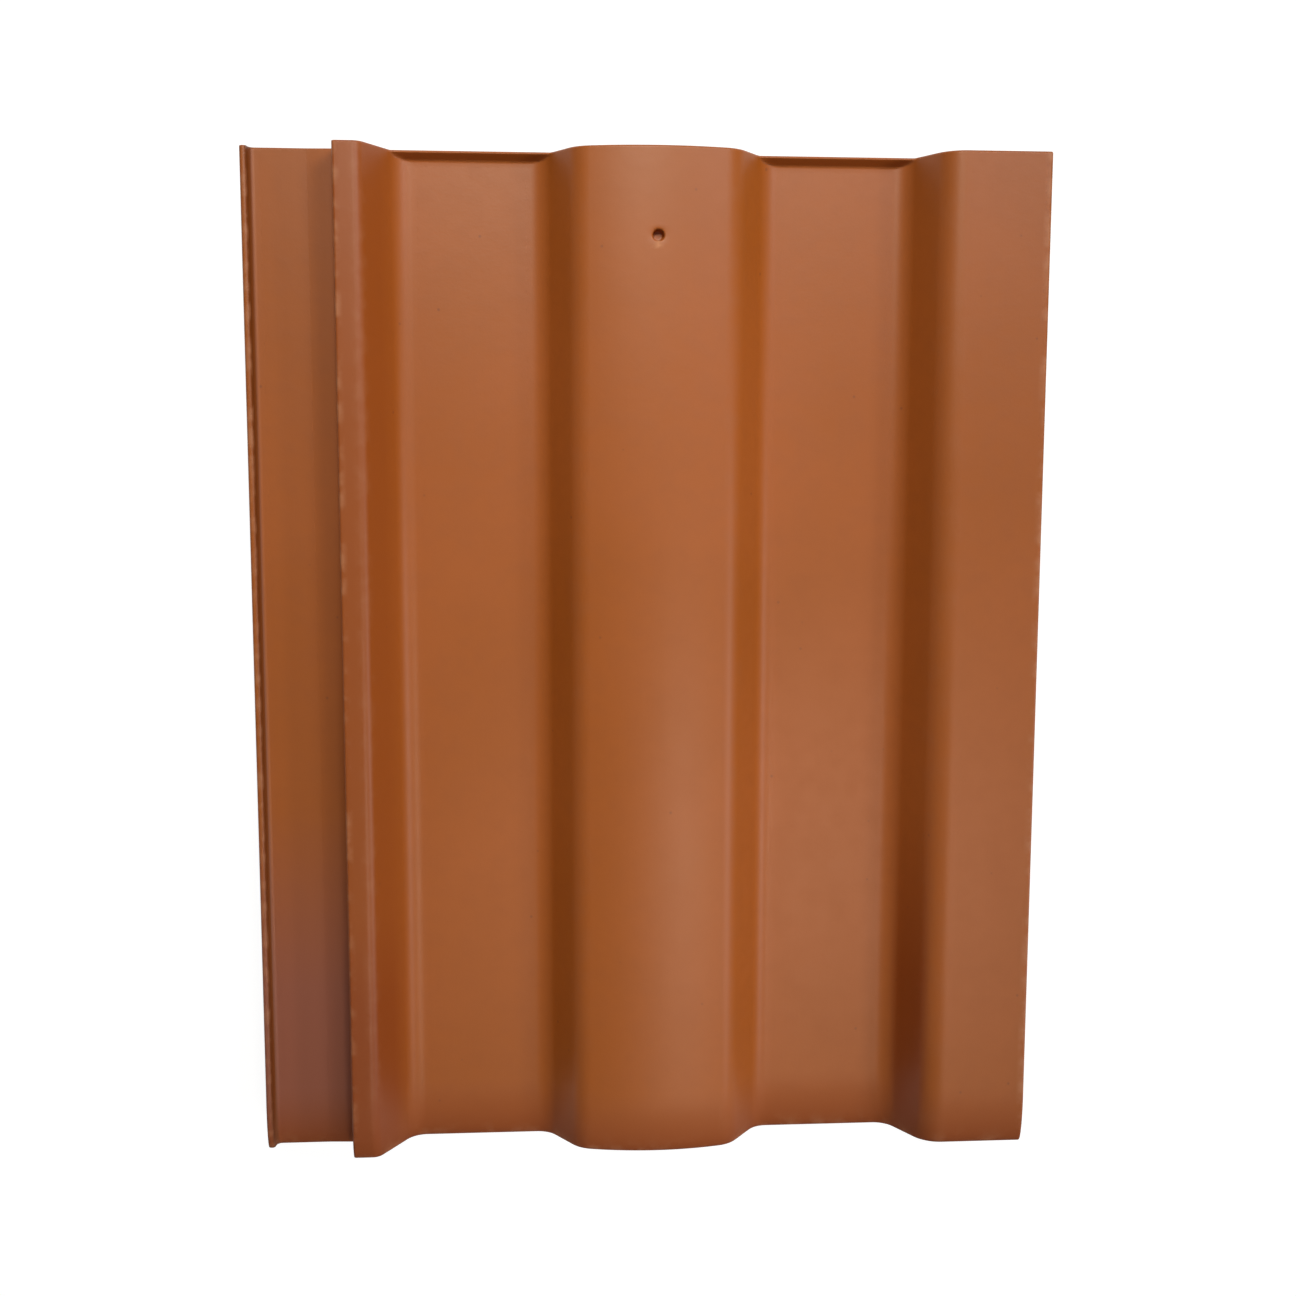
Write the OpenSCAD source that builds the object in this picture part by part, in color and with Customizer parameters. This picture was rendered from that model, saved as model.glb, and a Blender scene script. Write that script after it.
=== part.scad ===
// Interlocking roof tile with two rolls, pressed and fired as one piece.
// Lengths run from the nose (-Y, the lower edge on the roof) to the head (+Y).
// The origin is under the middle of the tile, on the plane that its nibs and bars rest on.

/* [Tile] */
// Length from head to nose
length = 420; // [380:1:460]
// Width that shows when laid, from the step of the left roll to the right edge
cover_w = 289; // [280:1:320]
// Thickness of the wall, square to its surface
wall = 10; // [8:0.5:11]

/* [Rolls] */
// Height of the two flat side rolls above the pans
flat_h = 21.5; // [20:0.5:25]
// Height of the domed middle roll above the pans
crown_h = 22; // [20:0.5:26]
// Width of the middle roll between its shoulders
crown_w = 65; // [56:1:74]
// Slope of the dome where it meets its shoulders, in degrees
crown_tilt = 12; // [6:1:14]
// Width of the flat top of the left roll
left_top_w = 10.5; // [9:0.5:14]
// Width of the flat top of the right roll, the overlock
overlock_w = 42; // [39:0.5:46]
// Horizontal run of each slope between a pan and a roll
slope_run = 13.5; // [12:0.5:16]
// Radius where a slope runs out into a pan
foot_r = 10; // [6:0.5:12]
// Radius of the shoulders of the middle and right rolls
shoulder_r = 13; // [8:0.5:15]
// Radius of the shoulder of the narrow left roll
left_shoulder_r = 5; // [3:0.5:8]
// Radius of the inner corners under the rolls
hollow_r = 5; // [2:0.5:6]
// Radius of the sharp arrises of the section
arris_r = 1.2; // [0.6:0.1:1.2]

/* [Underlock shelf] */
// Width of the shelf that the next tile covers, left of the step
side_lap = 38; // [35:0.5:39]
// Height of the shelf above the pans
shelf_h = 5; // [4:0.5:7]
// Thickness of the shelf
shelf_t = 7; // [6:0.5:9]
// Width of the top of the outer lip
lip_w = 2.6; // [2.5:0.1:3.5]
// Radius at the inner foot of the lip
lip_foot_r = 2.5; // [1.5:0.5:3]
// Width of the raised seat beside the step
seat_w = 12; // [9:0.5:14]
// Height of the raised seat above the shelf
seat_rise = 0.7; // [0.4:0.1:1]

/* [Upstands] */
// Rise of the side lip above the shelf, and of the head upstands above the pans
upstand_rise = 4.5; // [4:0.1:6]
// Thickness of the head upstands at their foot
upstand_t = 3.2; // [2.5:0.1:4]
// Thickness of the head upstands at their crest
crest_w = 1; // [0.8:0.1:2]
// Radius at the foot of the head upstands
upstand_foot_r = 1.5; // [1:0.1:2.5]

/* [Nose] */
// Length over which the upper face rounds down to the nose
nose_len = 22; // [12:0.5:26]
// Drop of the upper face at the nose
nose_drop = 4.5; // [3:0.5:5]

/* [Nail hole] */
// Diameter of the nail hole in the middle roll
nail_d = 4.5; // [3.5:0.5:7]
// Depth of the nail hole, which is left blind and knocked through on site
nail_depth = 4; // [3:0.5:6]
// Distance of the nail hole from the head
nail_from_head = 35; // [30:1:60]

/* [Underside] */
// Clear gap between a tile and the tile in the course above
lap_gap = 1; // [0.5:0.1:2]
// Clear gap inside the side lock
lock_gap = 1; // [0.5:0.1:1.5]
// Width of the rib along the right edge that stands on the next shelf
rib_w = 9; // [6:0.5:10]
// Width of each hanging nib
nib_w = 40; // [25:1:50]
// Length of each hanging nib at its root
nib_len = 16; // [12:0.5:22]
// Distance from the head to the batten face of the nibs
batten_from_head = 38; // [32:1:50]
// Length of each weather bar at its root
bar_len = 11; // [8:0.5:14]
// Distance from the nose to the first weather bar
bar_from_nose = 8; // [8:0.5:14]
// Spacing of the two weather bars under each pan
bar_pitch = 24; // [20:1:32]
// Draft of the moulded faces of nibs and bars, in degrees
draft = 6; // [3:0.5:10]

/* [Hidden] */

clay = [0.66, 0.36, 0.20];
// Steps in each rounded corner and in the dome
corner_steps = 6;
dome_steps = 12;
// Where flats touch the quarter ellipse that rounds the nose, in degrees round it
nose_turns = [30, 55, 75];
// How often the outermost flats of a leaning face repeat their own width past the sides
run_on = 9;
// How far an added rib or upstand is rooted in the wall
root = 2;

// Heights in the side lock, above the pans
shelf_under_h = shelf_h - shelf_t;
lip_h = shelf_h + upstand_rise;
channel_h = lip_h + lock_gap;
rib_h = shelf_h + seat_rise + lock_gap;

// Depth of nibs and bars: the shelf clears the overlock beside the tile below
foot_depth = flat_h + lap_gap - wall - shelf_under_h;
// Height of the pan surface above the floor
pan_z = foot_depth + wall;

// Places across the tile
left_x = -(side_lap + cover_w) / 2;
right_x = left_x + side_lap + cover_w;
step_x = left_x + side_lap;
pan_w = (cover_w - left_top_w - overlock_w - crown_w - 4 * slope_run) / 2;
pan1_x0 = step_x + left_top_w + slope_run;
pan1_x1 = pan1_x0 + pan_w;
crown_x = pan1_x1 + slope_run + crown_w / 2;
pan2_x0 = crown_x + crown_w / 2 + slope_run;
pan2_x1 = pan2_x0 + pan_w;
overlock_x = pan2_x1 + slope_run;
channel_x = right_x - side_lap;
pan1_x = (pan1_x0 + pan1_x1) / 2;
pan2_x = (pan2_x0 + pan2_x1) / 2;

// Places along the tile
head_y = length / 2;
nose_y = -length / 2;

// The dome is one arc between its shoulders, tangent to lines that rise at crown_tilt
crown_half = crown_w / 2;
crown_slope = atan(crown_h / slope_run);
shoulder_tan = shoulder_r * tan((crown_slope - crown_tilt) / 2);
dome_r = (crown_half / cos(crown_tilt) - shoulder_tan) / tan(crown_tilt);
dome_drop = dome_r * (1 / cos(crown_tilt) - 1);
apex_h = crown_h + dome_drop;
shoulder_h = apex_h - crown_half * tan(crown_tilt);

// The same arc on the lower face, between the corners of the hollow
crown_half_under = crown_half - wall * tan((crown_slope + crown_tilt) / 2) * cos(crown_tilt);
hollow_tan = hollow_r * tan((crown_slope - crown_tilt) / 2);
dome_under_r = (crown_half_under / cos(crown_tilt) - hollow_tan) / tan(crown_tilt);

// Corners of the wall's upper face between the side locks, as [x, height, radius]
function wall_path() = [
    [step_x, flat_h, 0],
    [step_x + left_top_w, flat_h, left_shoulder_r],
    [pan1_x0, 0, foot_r],
    [pan1_x1, 0, foot_r],
    [crown_x - crown_half, shoulder_h, shoulder_r],
    [crown_x, apex_h, dome_r],
    [crown_x + crown_half, shoulder_h, shoulder_r],
    [pan2_x0, 0, foot_r],
    [pan2_x1, 0, foot_r],
    [overlock_x, flat_h, shoulder_r],
    [right_x, flat_h, 0]
];

// Upper face of the whole section, from the lip to the right edge
function top_path() = concat(
    [
        [left_x, shelf_under_h, 0],
        [left_x, lip_h, arris_r],
        [left_x + lip_w, lip_h, arris_r],
        [left_x + lip_w + lip_draft_run(), shelf_h, lip_foot_r],
        [step_x - seat_w, shelf_h, 0],
        [step_x, shelf_h + seat_rise, 0],
        [step_x, flat_h, arris_r]
    ],
    [for (i = [1 : len(wall_path()) - 2]) wall_path()[i]],
    [[right_x, flat_h, arris_r], [right_x, rib_h, 0]]
);

// The inner face of the lip leans back by the same draft as the other moulded faces
function lip_draft_run() = upstand_rise * tan(draft);

// Lower face of the wall: each corner moved square to the wall by its thickness
function unit(v) = v / norm(v);
function flat2(p) = [p[0], p[1]];
function below(a, b) = let (d = unit(flat2(b) - flat2(a))) [d[1], -d[0]];
function moved_corner(path, i) =
    let (n1 = below(path[i - 1], path[i]), n2 = below(path[i], path[i + 1]))
    flat2(path[i]) + wall * (n1 + n2) / (1 + n1 * n2);
function turns_up(path, i) =
    let (n1 = below(path[i - 1], path[i]), n2 = below(path[i], path[i + 1]))
    n1[0] * n2[1] - n1[1] * n2[0] > 0;
function lower_radius(path, i) =
    path[i][2] == dome_r ? dome_under_r : turns_up(path, i) ? foot_r + wall : hollow_r;
function lower_path(path) = [
    for (i = [1 : len(path) - 2])
        let (p = moved_corner(path, i)) [p[0], p[1], lower_radius(path, i)]
];
function x_at(a, b, h) = a[0] + (b[0] - a[0]) * (h - a[1]) / (b[1] - a[1]);

// Under face of the whole section, from the right edge back to the shelf
function under_path() =
    let (w = lower_path(wall_path()), last = len(w) - 1)
    concat(
        [
            [right_x, rib_h, 0],
            [right_x - rib_w, rib_h, arris_r],
            [right_x - rib_w, channel_h, hollow_r / 2],
            [channel_x, channel_h, hollow_r / 2]
        ],
        [for (i = [last - 1 : -1 : 1]) w[i]],
        [
            [x_at(w[1], w[0], shelf_under_h), shelf_under_h, 0],
            [left_x, shelf_under_h, 0]
        ]
    );

// A corner [x, z, r] of a path as the points of an arc tangent to both of its sides
function corner(path, i) =
    let (
        p = flat2(path[i]),
        r = path[i][2],
        u = unit(flat2(path[i - 1]) - p),
        v = unit(flat2(path[i + 1]) - p),
        half = acos(u * v) / 2,
        centre = p + unit(u + v) * r / sin(half),
        from = p + u * r / tan(half) - centre,
        side = u[0] * v[1] - u[1] * v[0] > 0 ? -1 : 1,
        sweep = side * (180 - 2 * half),
        start = atan2(from[1], from[0]),
        steps = r == dome_r ? dome_steps : corner_steps
    )
    [for (k = [0 : steps]) centre + r * [cos(start + sweep * k / steps), sin(start + sweep * k / steps)]];
function rounded(path) = [
    for (i = [0 : len(path) - 1])
        each path[i][2] == 0 ? [flat2(path[i])] : corner(path, i)
];

// Points of the upper face, and of the whole section
top_points = rounded(top_path());
top_inner = [for (i = [1 : len(top_points) - 2]) top_points[i]];
section = concat(top_inner, rounded(under_path()));

// Wall of constant section from the head to the nose
module wall_body() {
    translate([0, head_y, 0])
        rotate([90, 0, 0])
            linear_extrude(length)
                polygon(section);
}

// Everything under a copy of the upper face that leans down to the nose and touches the
// quarter ellipse of its rounding at turn. Heights are foreshortened by the lean.
module under_leaning_face(turn) {
    lean = atan(nose_drop / nose_len * tan(turn));
    leaning = [for (p = top_inner) [p[0], p[1] * cos(lean)]];
    end = len(leaning) - 1;
    left_out = leaning[0] + run_on * (leaning[0] - leaning[1]);
    right_out = leaning[end] + run_on * (leaning[end] - leaning[end - 1]);
    deep = -2 * length;
    translate([0, nose_y + nose_len * (1 - sin(turn)), -nose_drop * (1 - cos(turn))])
        rotate([90 + lean, 0, 0])
            linear_extrude(4 * length, center = true)
                polygon(concat(
                    [[left_out[0], deep], left_out],
                    [for (i = [1 : end - 1]) leaning[i]],
                    [right_out, [right_out[0], deep]]
                ));
}

// The wall with its nose rounded in a few flats
module nosed_wall() {
    intersection() {
        wall_body();
        intersection_for (turn = nose_turns)
            under_leaning_face(turn);
    }
}

// A bar across the tile from x0 to x1, with outline given along Y and Z
module across(x0, x1) {
    translate([x0, 0, 0])
        rotate([90, 0, 90])
            linear_extrude(x1 - x0)
                children();
}

// Upstand at the head of a pan: a low rib that leans back to a thin crest
module head_upstand(x0, x1) {
    outline = rounded([
        [nose_y, 0, 0],
        [head_y - upstand_t, 0, upstand_foot_r],
        [head_y - crest_w, upstand_rise, crest_w / 2],
        [head_y, upstand_rise, 0]
    ]);
    face = [for (i = [1 : len(outline) - 1]) outline[i]];
    across(x0, x1)
        polygon(concat([[face[0][0], -root]], face, [[head_y, -root]]));
}

// A drafted foot under a pan, from y0 at its steep face, len long at its root
module pan_foot(x0, x1, y0, len) {
    lean = foot_depth * tan(draft);
    across(x0, x1)
        polygon([
            [y0, root - wall],
            [y0 + len, root - wall],
            [y0 + len, -wall],
            [y0 + len - lean, -wall - foot_depth],
            [y0 + lean, -wall - foot_depth],
            [y0, -wall]
        ]);
}

module roof_tile() {
    // The upstands end inside the wall of the rolls
    end_in = slope_run * upstand_rise / flat_h + root;
    first_bar_y = nose_y + bar_from_nose;
    color(clay)
        translate([0, 0, pan_z])
            difference() {
                union() {
                    nosed_wall();
                    for (pan = [[pan1_x0, pan1_x1], [pan2_x0, pan2_x1]])
                        head_upstand(pan[0] - end_in, pan[1] + end_in);
                    for (x = [pan1_x, pan2_x]) {
                        pan_foot(x - nib_w / 2, x + nib_w / 2, head_y - batten_from_head, nib_len);
                        for (y = [first_bar_y, first_bar_y + bar_pitch])
                            pan_foot(x - pan_w / 2, x + pan_w / 2, y, bar_len);
                    }
                }
                translate([crown_x, head_y - nail_from_head, crown_h - nail_depth])
                    cylinder(d = nail_d, h = nail_depth + root, $fn = 48);
            }
}

roof_tile();
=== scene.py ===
import bpy
import numpy as np
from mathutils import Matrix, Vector


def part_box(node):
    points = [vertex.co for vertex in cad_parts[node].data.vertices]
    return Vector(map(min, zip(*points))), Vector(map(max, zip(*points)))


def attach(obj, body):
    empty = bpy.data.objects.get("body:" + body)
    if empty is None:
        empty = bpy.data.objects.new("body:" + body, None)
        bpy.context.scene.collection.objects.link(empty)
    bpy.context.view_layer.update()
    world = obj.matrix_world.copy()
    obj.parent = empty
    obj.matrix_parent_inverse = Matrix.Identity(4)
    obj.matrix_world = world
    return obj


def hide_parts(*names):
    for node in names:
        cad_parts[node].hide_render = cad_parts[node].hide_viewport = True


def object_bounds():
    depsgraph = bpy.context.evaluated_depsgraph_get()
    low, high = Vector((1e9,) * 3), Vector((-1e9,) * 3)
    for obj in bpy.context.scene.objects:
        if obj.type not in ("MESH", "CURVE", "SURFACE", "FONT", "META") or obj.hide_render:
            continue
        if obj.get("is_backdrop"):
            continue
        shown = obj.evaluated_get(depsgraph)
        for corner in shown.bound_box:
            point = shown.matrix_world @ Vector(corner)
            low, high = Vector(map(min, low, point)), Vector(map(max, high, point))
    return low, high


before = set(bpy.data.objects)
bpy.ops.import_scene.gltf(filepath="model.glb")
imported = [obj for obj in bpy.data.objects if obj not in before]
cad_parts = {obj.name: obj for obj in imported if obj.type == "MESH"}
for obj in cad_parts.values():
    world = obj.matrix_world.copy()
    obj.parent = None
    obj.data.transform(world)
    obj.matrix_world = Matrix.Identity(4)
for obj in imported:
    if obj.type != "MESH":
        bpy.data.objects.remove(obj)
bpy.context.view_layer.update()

# Roof tile
# One slab of clay, pressed between two dies into two side rolls, a domed middle roll and two
# pans, coated with a thin terracotta slip on its weather face and fired. The lip, the nibs and
# the weather bars are pressed with it, so nothing on it is fixed or fitted.

# Sizes are in millimetres as the works drawing has them, and the outer ones come from the frame
MM = 0.001
tile_low, tile_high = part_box("roof_tile")
left_x, nose_y, floor_z = (value / MM for value in tile_low)
right_x, head_y, crown_z = (value / MM for value in tile_high)

wall = 10.0
flat_h = 21.5
crown_h = 22.0
crown_w = 65.0
crown_tilt = np.radians(12.0)
left_top_w = 10.5
overlock_w = 42.0
slope_run = 13.5
foot_r = 10.0
shoulder_r = 13.0
left_shoulder_r = 5.0
hollow_r = 5.0
arris_r = 1.2
worn_r = 0.4

side_lap = 38.0
shelf_h = 5.0
shelf_t = 7.0
lip_w = 2.6
lip_foot_r = 2.5
seat_w = 12.0
seat_rise = 0.7
seat_r = 6.0
rib_w = 9.0
lock_gap = 1.0

upstand_rise = 4.5
upstand_t = 3.2
crest_w = 1.0
upstand_foot_r = 1.5

draft = np.radians(6.0)
nib_w = 40.0
nib_len = 16.0
batten_from_head = 38.0
bar_len = 11.0
bar_from_nose = 8.0
bar_pitch = 24.0
foot_edge_r = 1.5
foot_root_r = 0.75

nose_len = 22.0
nose_drop = 4.5
head_arris_r = 1.0

nail_r = 2.25
nail_depth = 4.0
nail_from_head = 35.0
nail_rim_r = 0.9
nail_foot_r = 0.9

# Places across and along the tile, worked out as the dies are set out
pan_z = crown_z - crown_h
foot_depth = pan_z - wall - floor_z
step_x = left_x + side_lap
overlock_x = right_x - overlock_w
channel_x = right_x - side_lap
rolls_w = left_top_w + overlock_w + crown_w + 4 * slope_run
pan_w = (right_x - step_x - rolls_w) / 2
pan1_x0 = step_x + left_top_w + slope_run
pan1_x1 = pan1_x0 + pan_w
crown_x = pan1_x1 + slope_run + crown_w / 2
pan2_x0 = crown_x + crown_w / 2 + slope_run
pan2_x1 = pan2_x0 + pan_w
lip_h = shelf_h + upstand_rise
channel_h = lip_h + lock_gap
rib_h = shelf_h + seat_rise + lock_gap
shelf_under_h = shelf_h - shelf_t
nail_y = head_y - nail_from_head

# The dome is one arc between the shoulders of the middle roll, above and below
crown_half = crown_w / 2
crown_slope = np.arctan(crown_h / slope_run)
half_turn = np.tan((crown_slope - crown_tilt) / 2)
dome_r = (crown_half / np.cos(crown_tilt) - shoulder_r * half_turn) / np.tan(crown_tilt)
apex_h = crown_h + dome_r * (1 / np.cos(crown_tilt) - 1)
shoulder_h = apex_h - crown_half * np.tan(crown_tilt)
crown_half_under = crown_half - wall * np.tan((crown_slope + crown_tilt) / 2) * np.cos(crown_tilt)
dome_under_r = (crown_half_under / np.cos(crown_tilt) - hollow_r * half_turn) / np.tan(crown_tilt)


def below_wall(path, depth):
    """The inner corners of a chain of sides, each moved square to both sides that meet there."""
    along = np.diff(path, axis=0)
    along /= np.linalg.norm(along, axis=1, keepdims=True)
    square = np.stack([along[:, 1], -along[:, 0]], axis=1)
    before, after = square[:-1], square[1:]
    return path[1:-1] + depth * (before + after) / (1 + (before * after).sum(1, keepdims=True))


upper = np.array([
    (step_x, flat_h),
    (step_x + left_top_w, flat_h),
    (pan1_x0, 0),
    (pan1_x1, 0),
    (crown_x - crown_half, shoulder_h),
    (crown_x, apex_h),
    (crown_x + crown_half, shoulder_h),
    (pan2_x0, 0),
    (pan2_x1, 0),
    (overlock_x, flat_h),
    (right_x, flat_h),
])
upper_r = [arris_r, left_shoulder_r, foot_r, foot_r, shoulder_r, dome_r,
           shoulder_r, foot_r, foot_r, shoulder_r, arris_r]
lower = below_wall(upper, wall)
lower_r = [hollow_r, foot_r + wall, foot_r + wall, hollow_r, dome_under_r,
           hollow_r, foot_r + wall, foot_r + wall, hollow_r]
slope_share = (shelf_under_h - lower[1, 1]) / (lower[0, 1] - lower[1, 1])
shelf_root_x = lower[1, 0] + (lower[0, 0] - lower[1, 0]) * slope_share

# Corners round the section as (x, height over the pans, radius, 1 on the weather face)
corners = [
    (left_x, shelf_under_h, worn_r, 0),
    (left_x, lip_h, arris_r, 1),
    (left_x + lip_w, lip_h, arris_r, 1),
    (left_x + lip_w + upstand_rise * np.tan(draft), shelf_h, lip_foot_r, 1),
    (step_x - seat_w, shelf_h, seat_r, 1),
    (step_x, shelf_h + seat_rise, worn_r, 1),
]
corners += [(*place, radius, 1) for place, radius in zip(upper, upper_r)]
corners += [
    (right_x, rib_h, worn_r, 0),
    (right_x - rib_w, rib_h, arris_r, 0),
    (right_x - rib_w, channel_h, hollow_r / 2, 0),
    (channel_x, channel_h, hollow_r / 2, 0),
]
corners += [(*place, radius, 0) for place, radius in zip(lower[-2:0:-1], lower_r[-2:0:-1])]
corners += [(shelf_root_x, shelf_under_h, worn_r, 0)]


def rounded_chain(corners, closed, turn=np.radians(7.0), reach=2.6):
    """Points along straight sides whose corners (x, z, radius, value) are rounded.

    Each corner becomes an arc of its radius, tangent to both sides, in an even number of steps
    of at most turn and reach. Sides are filled at most reach apart. Every point carries the
    value of its corner, which runs evenly along a side, and how sharply it bulges: one over
    the radius of an outer arc, and zero elsewhere. The ends of an open chain have no radius.
    """
    sharpest = 1e-6
    table = np.array(corners, float)
    place, radius, value = table[:, :2], table[:, 2], table[:, 3]
    back = np.roll(place, 1, axis=0) - place
    on = np.roll(place, -1, axis=0) - place
    back /= np.linalg.norm(back, axis=1, keepdims=True)
    on /= np.linalg.norm(on, axis=1, keepdims=True)
    half = np.maximum(np.arccos(np.clip((back * on).sum(1), -1, 1)) / 2, sharpest)
    middle = back + on
    middle /= np.linalg.norm(middle, axis=1, keepdims=True)
    centre = place + middle * (radius / np.sin(half))[:, None]
    begin = place + back * (radius / np.tan(half))[:, None] - centre
    outer = back[:, 0] * on[:, 1] - back[:, 1] * on[:, 0] > 0
    sweep = np.where(outer, -1, 1) * (np.pi - 2 * half)
    steps = np.maximum(abs(sweep) / turn, abs(sweep) * radius / reach)
    steps = 2 * np.ceil(steps / 2).astype(int)
    arcs = []
    for i in range(len(place)):
        if radius[i] == 0:
            arcs.append(np.array([[*place[i], value[i], 0.0]]))
            continue
        angle = np.arctan2(begin[i, 1], begin[i, 0]) + sweep[i] * np.linspace(0, 1, steps[i] + 1)
        bulge = 1 / radius[i] if outer[i] else 0.0
        arcs.append(np.stack([
            centre[i, 0] + radius[i] * np.cos(angle),
            centre[i, 1] + radius[i] * np.sin(angle),
            np.full(angle.shape, value[i]),
            np.full(angle.shape, bulge),
        ], axis=1))
    chain = []
    for arc, following in zip(arcs, arcs[1:] + arcs[:1] if closed else arcs[1:] + [None]):
        chain.append(arc)
        if following is None:
            continue
        first, last = arc[-1], following[0]
        count = int(np.ceil(np.linalg.norm(last[:2] - first[:2]) / reach))
        share = np.arange(1, count)[:, None] / count
        side = first + (last - first) * share
        side[:, 3] = 0
        chain.append(side)
    return np.concatenate(chain)


section = rounded_chain(corners, closed=True)
sec_x, sec_z, weather, bulge = section.T

# Outline of a head upstand, with some of the pan before it, and of a drafted foot
upstand_y = head_y - upstand_t
pan_before = 2 * upstand_t
upstand = rounded_chain([
    (upstand_y - pan_before, 0, 0, 0),
    (upstand_y, 0, upstand_foot_r, 0),
    (head_y - crest_w, upstand_rise, crest_w / 2, 0),
    (head_y, upstand_rise, 0, 0),
], closed=False, turn=np.radians(12.0))
lean = foot_depth * np.tan(draft)


def foot_outline(start, run):
    """Depth of a foot below the wall along the tile: two drafted faces with rounded edges."""
    return rounded_chain([
        (start - foot_edge_r, 0, 0, 0),
        (start, 0, foot_root_r, 0),
        (start + lean, -foot_depth, foot_edge_r, 0),
        (start + run - lean, -foot_depth, foot_edge_r, 0),
        (start + run, 0, foot_root_r, 0),
        (start + run + foot_edge_r, 0, 0, 0),
    ], closed=False, turn=np.radians(30.0), reach=16.0)


first_bar = foot_outline(nose_y + bar_from_nose, bar_len)
second_bar = foot_outline(nose_y + bar_from_nose + bar_pitch, bar_len)
nib = foot_outline(head_y - batten_from_head, nib_len)

# Stations along the tile: close together where an edge turns, and even between them
nose_points, head_points = 13, 5
station_gap, edge_gap, least_gap = 4.5, 1.0, 0.05
nose_turn = np.radians(np.linspace(90, 0, nose_points))
head_turn = np.radians(np.linspace(0, 90, head_points))
fixed = np.concatenate([
    nose_y + nose_len * (1 - np.sin(nose_turn)),
    first_bar[:, 0],
    second_bar[:, 0],
    nib[:, 0],
    upstand[1:, 0],
    head_y - head_arris_r * (1 - np.sin(head_turn)),
])
even = np.arange(nose_y, head_y, station_gap)
apart = abs(even[:, None] - fixed[None, :]).min(axis=1) > edge_gap
rows = np.unique(np.round(np.concatenate([fixed, even[apart]]), 2))
rows = rows[np.concatenate([[True], np.diff(rows) > least_gap])]

# The section carried along the tile, then shaped: height is a function of row and section point
height = np.tile(sec_z, (len(rows), 1))
along = rows[:, None]


def within(low, high, run):
    """One for section points between two places across the tile, falling to zero over run."""
    return np.clip(np.minimum(sec_x - low, high - sec_x) / run + 1, 0, 1)


upstand_h = np.interp(rows, upstand[:, 0], upstand[:, 1])[:, None]
raised = (weather == 1) & (sec_x > step_x) & (sec_x < overlock_x)
height = np.where(raised & (upstand_h > 0), np.maximum(height, upstand_h), height)

under = weather == 0
for x0, x1 in ((pan1_x0, pan1_x1), (pan2_x0, pan2_x1)):
    middle_x = (x0 + x1) / 2
    feet = ((first_bar, x0, x1), (second_bar, x0, x1),
            (nib, middle_x - nib_w / 2, middle_x + nib_w / 2))
    for outline, low, high in feet:
        depth = np.interp(rows, outline[:, 0], outline[:, 1])[:, None]
        drop = np.minimum(-wall + depth - height, 0) * (depth < 0)
        height = height + under * within(low, high, lean) * drop

nose_share = np.clip((nose_y + nose_len - along) / nose_len, 0, 1)
head_share = np.clip((along - head_y + head_arris_r) / head_arris_r, 0, 1)
height = height - weather * nose_drop * (1 - np.sqrt(1 - nose_share ** 2))
height = height - weather * head_arris_r * (1 - np.sqrt(1 - head_share ** 2))

grid = np.stack([
    np.broadcast_to(sec_x, height.shape),
    np.broadcast_to(along, height.shape),
    height + pan_z,
], axis=2)
row_count, point_count = height.shape
index = np.arange(row_count * point_count).reshape(row_count, point_count)

# The nail hole is pressed into the dome and left blind: a block of the grid gives way to rings
# that run from the block's edge in to the rim, down the wall and across the floor
block_half, block_run = 4, 8.5
on_dome = np.where(weather == 1)[0]
column = on_dome[np.argmin(abs(sec_x[on_dome] - crown_x))]
block_columns = column + np.arange(-block_half, block_half + 1)
block_rows = np.where(abs(rows - nail_y) < block_run)[0]
edge = np.concatenate([
    index[block_rows[0], block_columns[:-1]],
    index[block_rows[:-1], block_columns[-1]],
    index[block_rows[-1], block_columns[:0:-1]],
    index[block_rows[:0:-1], block_columns[0]],
])
points = grid.reshape(-1, 3)
to_edge = points[edge, :2] - (crown_x, nail_y)
bearing = np.arctan2(to_edge[:, 1], to_edge[:, 0])


def hole_rings():
    """Rings from the block's edge in to the middle of the hole, each a function of bearing.

    The outer rings go evenly from the block's edge to the rim, at the dome's own height. Inside
    them a profile of reach and depth turns round the hole's axis: the rim is a quarter round
    into the wall, and the foot of the wall is a quarter round into the floor.
    """
    arc_points, ring_shares, pin_r, spare = 6, (0.66, 0.33), 0.02, 2
    floor_r = nail_r - nail_foot_r
    unit = np.stack([np.cos(bearing), np.sin(bearing)], axis=1)
    turn = np.radians(np.linspace(0, 90, arc_points))
    reach = np.concatenate([
        nail_r + nail_rim_r * (1 - np.sin(turn)),
        nail_r - nail_foot_r * (1 - np.cos(turn)),
        [floor_r / 2, pin_r],
    ])
    depth = np.concatenate([
        nail_rim_r * (1 - np.cos(turn)),
        nail_depth - nail_foot_r * (1 - np.sin(turn)),
        [nail_depth, nail_depth],
    ])
    rim = unit * reach[0]
    share = np.array(ring_shares)[:, None, None]
    outer = rim + (to_edge - rim) * share
    flat = np.concatenate([outer, unit * reach[:, None, None]]) + (crown_x, nail_y)
    dome = column + np.arange(-block_half - spare, block_half + spare + 1)
    level = np.interp(flat[..., 0], sec_x[dome], sec_z[dome])
    fall = np.concatenate([np.zeros(len(share)), depth])[:, None]
    level = np.where(fall < nail_rim_r, level - fall, crown_h - fall)
    return np.concatenate([flat, level[..., None] + pan_z], axis=2)


bore = hole_rings()
ring_count, around = bore.shape[:2]
bore_index = np.concatenate([
    edge[None],
    len(points) + np.arange(ring_count * around).reshape(ring_count, around),
])


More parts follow.
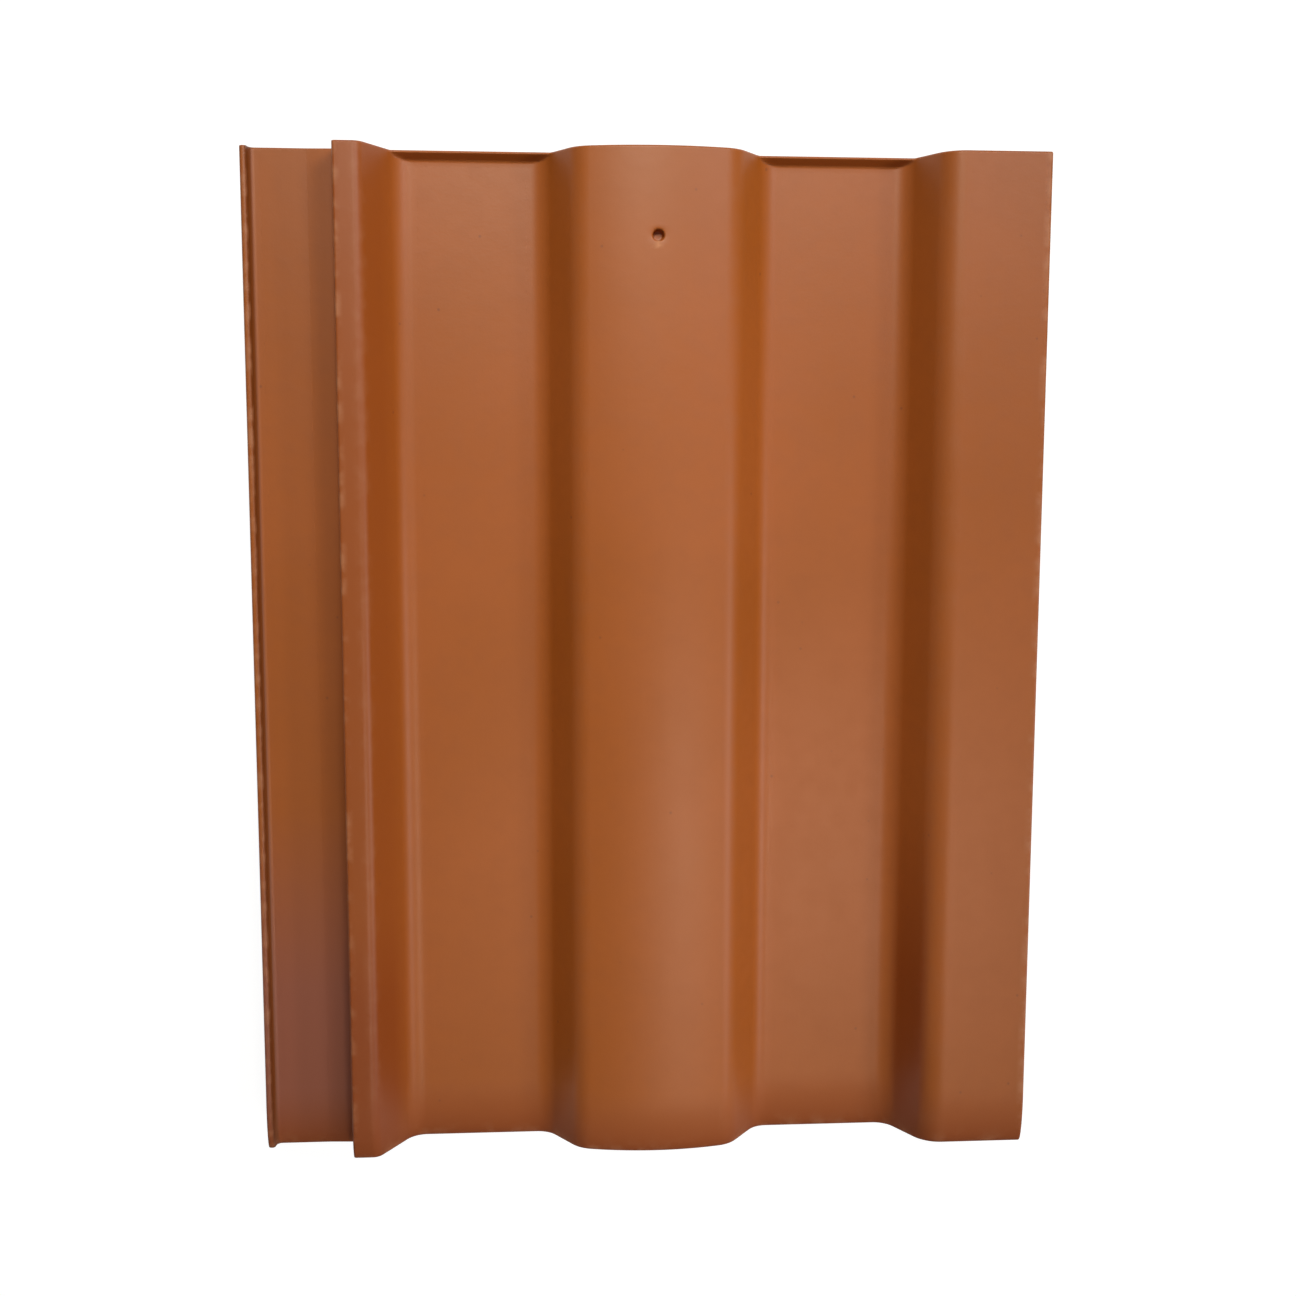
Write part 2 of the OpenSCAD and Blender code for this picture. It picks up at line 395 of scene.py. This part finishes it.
def quads(table):
    """Faces between neighbouring rows of a table of indices, closed across its columns."""
    onward = np.roll(table, -1, axis=1)
    return np.stack([table[:-1], onward[:-1], onward[1:], table[1:]], axis=2)


skin = quads(index)
keep = np.ones(skin.shape[:2], bool)
keep[np.ix_(block_rows[:-1], block_columns[:-1])] = False
faces = np.concatenate([skin[keep], quads(bore_index).reshape(-1, 4)]).tolist()
ends = [index[0, ::-1].tolist(), index[-1].tolist(), bore_index[-1].tolist()]
points = np.concatenate([points, bore.reshape(-1, 3)]) * MM

mesh = bpy.data.meshes.new("roof_tile_fired")
mesh.from_pydata(points.tolist(), [], faces + ends)
mesh.polygons.foreach_set("use_smooth", np.arange(len(faces) + len(ends)) < len(faces))

# What the material has to know of a place, kept on the points: how much slip it carries, how worn
# its edge is, where painted shade darkens it (towards the nose, in the lower corners, on the left
# roll and on the right roll's slope), where it is duller towards the nose, where a plum painted
# shade lies on the lower shelf, and where a dark painted shade line runs on the lip's inner face.
# The slip is chipped on the rim of the nail hole, on the side of the nose, and that pale clay is
# also a painted highlight of the lit lower rim.
wear_power = 6
# Sizes of the painted shade: the length of the ramp at the nose, where the shade of the lower
# corners starts and how far it runs, and how much of it lies on the whole left roll
nose_shade_len, shade_from_y, shade_over_y, left_roll_shade_share = 26.0, -60.0, 80.0, 0.55
# Where the painted shade line on the lip's inner face lies, its half width and its fade
crease_x, crease_half, crease_fade = left_x + lip_w + 0.5, 0.5, 1.0
# Bearing, fade and rings of the pale bare clay on the nail hole's rim, which is in part a painted
# highlight
pale_rim_way, pale_rim_fade, pale_rim_rings = -np.pi / 2, 0.2, slice(1, 12)
half_slope, quarter_slope = slope_run / 2, slope_run / 4
each_row = np.ones((row_count, 1))

edge_wear = np.clip(bulge * arris_r, 0, 1) * each_row
edge_wear = np.maximum(edge_wear, weather * np.maximum(nose_share, head_share) ** wear_power)
# Painted shade: the weather face darkens over its last stretch towards the nose; the same ramp
# also makes it duller there
nose_painted_shade = weather * np.clip((nose_y + nose_shade_len - along) / nose_shade_len, 0, 1)
# Painted shade: darker towards the nose end from 60 mm below the middle, laid on the lower corners
# where the light falls off
lower_end_painted_shade = weather * np.clip((shade_from_y - along) / shade_over_y, 0, 1)
# Painted shade: a cool plum tint over the lower shelf, for the bluish shade that lies there
shelf_painted_shade = lower_end_painted_shade * (sec_x < step_x - worn_r)
# Painted shade: the whole left roll is drawn darker, and darker still towards the nose end
left_roll = (sec_x > step_x - worn_r) * np.clip((pan1_x0 - sec_x) / half_slope, 0, 1)
left_roll_painted_shade = weather * left_roll * np.maximum(lower_end_painted_shade, left_roll_shade_share)
# Painted shade: the right roll's left-facing slope darkens towards the nose end
from_middle = abs(sec_x - overlock_x + half_slope)
right_slope_painted_shade = lower_end_painted_shade * np.clip(2 - from_middle / quarter_slope, 0, 1)
# Painted shade: a dark line on the inner face of the lip, which lies in shade
from_corner = abs(sec_x - crease_x)
crease_shade = weather * np.clip((crease_half + crease_fade - from_corner) / crease_fade, 0, 1)
whole = np.zeros((ring_count, around))
# Bare clay of a chip on the nose side of the nail hole's rim, placed where the lower rim catches
# the light, so it is also a painted highlight
pale_rim = whole.copy()
pale_rim[pale_rim_rings] = np.clip(2 - abs(bearing - pale_rim_way) / pale_rim_fade, 0, 1)
looks = {
    "slip": (weather * each_row, 1 - pale_rim),
    "wear": (edge_wear, whole),
    "painted_shade": (np.maximum(nose_painted_shade, np.maximum(left_roll_painted_shade, right_slope_painted_shade)), whole),
    "dull": (nose_painted_shade, whole),
    "shelf_shade": (shelf_painted_shade, whole),
    "crease_shade": (crease_shade * each_row, whole),
}
for name, (on_skin, in_hole) in looks.items():
    values = np.concatenate([on_skin.ravel(), in_hole.ravel()]).astype(np.float32)
    mesh.attributes.new(name, "FLOAT", "POINT").data.foreach_set("value", values)
mesh.validate()
mesh.update()
tile = bpy.data.objects.new("roof_tile_fired", mesh)
bpy.context.scene.collection.objects.link(tile)


def linear(hex_colour):
    """An sRGB hex colour as linear red, green, blue and alpha."""
    value = np.array([int(hex_colour[i:i + 2], 16) for i in (1, 3, 5)]) / 255
    value = np.where(value <= 0.04045, value / 12.92, ((value + 0.055) / 1.055) ** 2.4)
    return (*value.tolist(), 1.0)


def add_node(tree, kind, sockets, **settings):
    """Adds a node with its settings; each named socket takes a value or another node's output."""
    node = tree.nodes.new(kind)
    for name, value in settings.items():
        setattr(node, name, value)
    for name, value in sockets.items():
        if isinstance(value, bpy.types.NodeSocket):
            tree.links.new(value, node.inputs[name])
        else:
            node.inputs[name].default_value = value
    return node


# Fired clay under a terracotta slip: a close, smooth skin with a soft sheen, clouded by the kiln,
# with fine grit, a few dark iron specks, paler clay where an edge has rubbed and bare clay below,
# and painted shade: darker towards the nose, in the lower corners and on the rolls, plum on the
# lower shelf and a dark line on the lip's inner face
clay = bpy.data.materials.new("fired_clay_terracotta_slip")
clay.use_nodes = True
tree = clay.node_tree
tree.nodes.clear()
slip_brown = linear("#9D5214")
slip_rose = linear("#A3561C")
grit_dark = linear("#8A4615")
iron_dark = linear("#6E3A20")
bare_clay = linear("#B97C55")
# Painted shade colour: dark brown for the shaded nose end, the lower corners, the left roll and
# the right roll's slope
shade_dark = linear("#8E420C")
# Painted shade colour: a cool plum for the shaded lower shelf
shade_plum = linear("#92523A")
# Painted shade colour: dark brown for the shaded line on the lip's inner face
crease_shade_dark = linear("#763A0C")

# Widths of the lumps in each pattern. Real grit is too fine to show in the render, so it is drawn
# as coarse as it needs to show
cloud_mm, mottle_mm, grit_mm, speck_mm, drag_mm = 95.0, 7.0, 0.9, 16.0, 2.2
sheen_low, sheen_high, bare_rough = 0.38, 0.47, 0.82
drag_stretch = (1.0, 0.03, 1.0)

place = add_node(tree, "ShaderNodeTexCoord", {}).outputs["Object"]
drawn = add_node(tree, "ShaderNodeMapping", {
    "Vector": place, "Scale": drag_stretch}).outputs["Vector"]
cloud, mottle, grit, drag = (add_node(tree, "ShaderNodeTexNoise", {
    "Vector": spread, "Scale": 1 / (lump_mm * MM), "Detail": detail}).outputs["Fac"]
    for spread, lump_mm, detail in ((place, cloud_mm, 2.0), (place, mottle_mm, 3.0),
                                    (place, grit_mm, 2.0), (drawn, drag_mm, 2.0)))
speck = add_node(tree, "ShaderNodeTexVoronoi", {
    "Vector": place, "Scale": 1 / (speck_mm * MM)}).outputs["Distance"]
mark = {name: add_node(tree, "ShaderNodeAttribute", {}, attribute_name=name).outputs["Fac"]
        for name in looks}

clouded = add_node(tree, "ShaderNodeMapRange", {
    "Value": cloud, "From Min": 0.35, "From Max": 0.65}).outputs["Result"]
gritty = add_node(tree, "ShaderNodeMapRange", {
    "Value": mottle, "From Min": 0.4, "From Max": 0.75, "To Max": 0.15}).outputs["Result"]
spotted = add_node(tree, "ShaderNodeMapRange", {
    "Value": speck, "From Min": 0.02, "From Max": 0.05,
    "To Min": 0.5, "To Max": 0.0}).outputs["Result"]
patchy = add_node(tree, "ShaderNodeMapRange", {
    "Value": mottle, "From Min": 0.45, "From Max": 0.7, "To Max": 0.5}).outputs["Result"]
rubbed = add_node(tree, "ShaderNodeMath", {
    0: mark["wear"], 1: patchy}, operation="MULTIPLY").outputs[0]

# Each colour goes over the ones before it by its share, and bare clay shows where slip is missing.
# The plum, the dark brown and the dark line on the lip are painted shade.
# Blender's mixing node has sockets of its own for numbers and for colours, under these places
number_a, number_b, number_out = 2, 3, 0
colour_a, colour_b, colour_out = 6, 7, 2
body = slip_brown
for share, colour in ((clouded, slip_rose), (gritty, grit_dark), (spotted, iron_dark),
                      (mark["shelf_shade"], shade_plum), (mark["painted_shade"], shade_dark),
                      (mark["crease_shade"], crease_shade_dark), (rubbed, bare_clay)):
    body = add_node(tree, "ShaderNodeMix", {
        "Factor": share, colour_a: body, colour_b: colour}, data_type="RGBA").outputs[colour_out]
body = add_node(tree, "ShaderNodeMix", {
    "Factor": mark["slip"], colour_a: bare_clay, colour_b: body},
    data_type="RGBA").outputs[colour_out]

sheen = add_node(tree, "ShaderNodeMapRange", {
    "Value": mottle, "To Min": sheen_low, "To Max": sheen_high}).outputs["Result"]
sheen = add_node(tree, "ShaderNodeMix", {
    "Factor": mark["dull"], number_a: sheen, number_b: bare_rough}).outputs[number_out]
roughness = add_node(tree, "ShaderNodeMix", {
    "Factor": mark["slip"], number_a: bare_rough, number_b: sheen}).outputs[number_out]

relief = add_node(tree, "ShaderNodeBump", {
    "Height": grit, "Strength": 0.35, "Distance": 0.05 * MM}).outputs["Normal"]
relief = add_node(tree, "ShaderNodeBump", {
    "Height": drag, "Strength": 0.25, "Distance": 0.05 * MM, "Normal": relief}).outputs["Normal"]
relief = add_node(tree, "ShaderNodeBump", {
    "Height": mottle, "Strength": 0.4, "Distance": 0.12 * MM, "Normal": relief}).outputs["Normal"]
skin_shader = add_node(tree, "ShaderNodeBsdfPrincipled", {
    "Base Color": body, "Roughness": roughness, "Normal": relief, "IOR": 1.5}).outputs["BSDF"]
add_node(tree, "ShaderNodeOutputMaterial", {"Surface": skin_shader})
mesh.materials.append(clay)

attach(tile, "root")
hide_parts("roof_tile")

# Floor
# A wide sheet of card that the tile lies on. It is plain and matt, glows white for the camera and
# keeps the tile's soft shadow. The glow fades out under the tile as a painted shadow, so the floor
# there and the hollows stay dark.
floor_half = 4.0
card = bpy.data.meshes.new("floor_card")
card.from_pydata([(-floor_half, -floor_half, 0), (floor_half, -floor_half, 0),
                  (floor_half, floor_half, 0), (-floor_half, floor_half, 0)], [], [(0, 1, 2, 3)])
floor = bpy.data.objects.new("floor_card", card)
bpy.context.scene.collection.objects.link(floor)
paper = bpy.data.materials.new("white_card")
paper.use_nodes = True
tree = paper.node_tree
tree.nodes.clear()
card_grey = linear("#8A8A8A")
card_glow = 0.90
shade_run = 50.0 * MM
path = add_node(tree, "ShaderNodeLightPath", {}).outputs
seen = path["Is Camera Ray"]
for ray in ("Is Glossy Ray", "Is Transmission Ray"):
    seen = add_node(tree, "ShaderNodeMath", {
        0: seen, 1: path[ray]}, operation="MAXIMUM").outputs[0]
spot = add_node(tree, "ShaderNodeTexCoord", {}).outputs["Object"]
spot = add_node(tree, "ShaderNodeVectorMath", {0: spot}, operation="ABSOLUTE").outputs["Vector"]
spot = add_node(tree, "ShaderNodeSeparateXYZ", {"Vector": spot}).outputs
# Painted shadow: the glow fades out over shade_run inside the tile's outline
beside, beyond = (add_node(tree, "ShaderNodeMapRange", {
    "Value": spot[axis], "From Min": side - shade_run,
    "From Max": side}, interpolation_type="SMOOTHSTEP").outputs["Result"]
    for axis, side in (("X", tile_high.x), ("Y", tile_high.y)))
clear = add_node(tree, "ShaderNodeMath", {
    0: beside, 1: beyond}, operation="MAXIMUM").outputs[0]
glow = seen
for share in (clear, card_glow):
    glow = add_node(tree, "ShaderNodeMath", {
        0: glow, 1: share}, operation="MULTIPLY").outputs[0]
matt = add_node(tree, "ShaderNodeBsdfDiffuse", {"Color": card_grey}).outputs["BSDF"]
shine = add_node(tree, "ShaderNodeEmission", {"Strength": glow}).outputs["Emission"]
both = add_node(tree, "ShaderNodeAddShader", {0: matt, 1: shine}).outputs["Shader"]
add_node(tree, "ShaderNodeOutputMaterial", {"Surface": both})
card.materials.append(paper)
floor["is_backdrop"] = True

# Light and camera
# A soft lamp over the right of the head, a low strip on the right that draws the bright lines on
# the shoulders, two warm lamps that lift the head and the nose, and a dim even room. The camera
# looks down on the tile from above its head half.
room = bpy.data.worlds.new("room")
room.use_nodes = True
tree = room.node_tree
tree.nodes.clear()
room_level = 0.20
room_tint = (0.97, 0.98, 1.03, 1.0)
path = add_node(tree, "ShaderNodeLightPath", {}).outputs
seen = add_node(tree, "ShaderNodeMath", {
    0: path["Is Camera Ray"], 1: path["Is Transmission Ray"]}, operation="MAXIMUM").outputs[0]
level = add_node(tree, "ShaderNodeMapRange", {
    "Value": seen, "To Min": room_level, "To Max": 1.0}).outputs["Result"]
air = add_node(tree, "ShaderNodeBackground", {
    "Color": room_tint, "Strength": level}).outputs["Background"]
add_node(tree, "ShaderNodeOutputWorld", {"Surface": air})
bpy.context.scene.world = room

# Each lamp has a kind, a stand, an aim and a power in watts, and then the sides of its panel, or
# the radius of its bulb with the angle and the softness of its beam
warm = (1.0, 0.95, 0.82)
lamps = (
    ("lamp_head_right", "AREA", (0.75, 0.85, 1.25), (0.0, 0.0, 0.0), 9.0, (0.50, 0.50)),
    ("lamp_right", "AREA", (1.00, -0.30, 0.75), (0.0, 0.0, 0.0), 2.8, (0.60, 0.10)),
    ("lamp_head", "SPOT", (-0.04, 0.68, 1.00), (-0.02, 0.11, 0.0), 31.0, (0.15, 34.0, 0.9)),
    ("lamp_nose", "SPOT", (0.30, -0.33, 1.20), (-0.02, -0.175, 0.0), 28.0, (0.18, 18.0, 1.0)),
)
for name, kind, stand, aim, power, shape in lamps:
    light = bpy.data.lights.new(name, kind)
    light.energy = power
    if kind == "AREA":
        light.shape = "RECTANGLE"
        light.size, light.size_y = shape
    else:
        light.shadow_soft_size, beam_deg, light.spot_blend = shape
        light.spot_size = np.radians(beam_deg)
        light.color = warm
    lamp = bpy.data.objects.new(name, light)
    lamp.location = stand
    lamp.rotation_euler = (Vector(aim) - lamp.location).to_track_quat("-Z", "Y").to_euler()
    bpy.context.scene.collection.objects.link(lamp)

# The camera's place and turn were fitted to the corners of the tile in the photo
eye_x, eye_y, eye_over_pans = -0.0408, 0.0795, 0.6331
eye_turn_deg = (-6.591, -3.748, 0.113)
sensor_mm, lens_mm = 36.0, 41.564
camera = bpy.data.cameras.new("camera")
camera.sensor_width = sensor_mm
camera.lens = lens_mm
viewer = bpy.data.objects.new("camera", camera)
viewer.location = (eye_x, eye_y, eye_over_pans + pan_z * MM)
viewer.rotation_euler = np.radians(eye_turn_deg)
bpy.context.scene.collection.objects.link(viewer)
bpy.context.scene.camera = viewer
bpy.context.scene.view_settings.view_transform = "Standard"

low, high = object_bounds()
